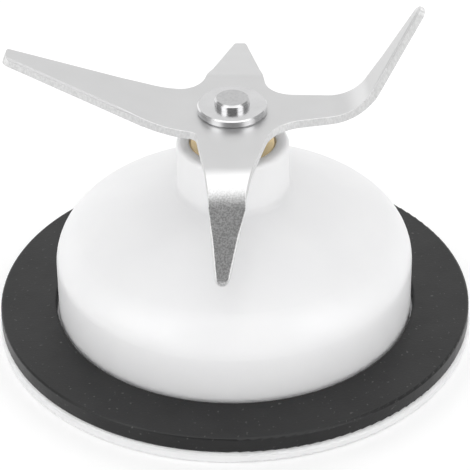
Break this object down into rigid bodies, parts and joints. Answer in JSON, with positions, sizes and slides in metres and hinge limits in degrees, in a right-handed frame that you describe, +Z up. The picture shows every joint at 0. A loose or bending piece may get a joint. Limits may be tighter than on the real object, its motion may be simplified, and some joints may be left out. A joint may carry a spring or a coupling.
{
  "type": "blender blade unit",
  "caption": "Blender blade unit: a bent multi-arm knife on a spindle in a white moulded dome, with a flat rubber sealing ring on its flange.",
  "frame": {"origin": "centre of the flange's underside, on the spindle's axis", "axes": "+Z up the spindle, towards the knife; -Y towards the arm that is bent down steeply; +X towards the arm that is bent up steeply"},
  "size_m": [0.0846, 0.0846, 0.0618],
  "materials": {
    "white_plastic": "white moulded plastic, satin gloss",
    "black_rubber": "matt black rubber with faint dust",
    "knife_steel": "stamped stainless sheet, tumbled to a satin grey, ground along its edges",
    "turned_steel": "turned stainless steel, bright",
    "spring_steel": "blued spring steel",
    "brass": "turned brass",
    "sintered_bronze": "oil-filled sintered bronze",
    "seal_rubber": "black seal rubber",
    "nylon": "natural nylon",
    "coupling_plastic": "black moulded plastic"
  },
  "bodies": {
    "base": {"blade_holder": "white_plastic", "sealing_ring": "black_rubber", "bearing_sleeve": "brass", "upper_bush": "sintered_bronze", "lower_bush": "sintered_bronze", "shaft_seal": "seal_rubber", "upper_thrust_washer": "nylon"},
    "rotor": {"spindle": "turned_steel", "knife": "knife_steel", "knife_washer": "turned_steel", "knife_collar": "turned_steel", "lower_thrust_washer": "nylon", "retaining_clip": "spring_steel", "coupling_hub": "brass", "drive_coupling": "coupling_plastic"}
  },
  "joints": [
    {"name": "blade_spin", "type": "hinge", "parent": "base", "child": "rotor", "pos_m": [0, 0, 0.02], "axis": [0, 0, 1], "continuous": true}
  ]
}
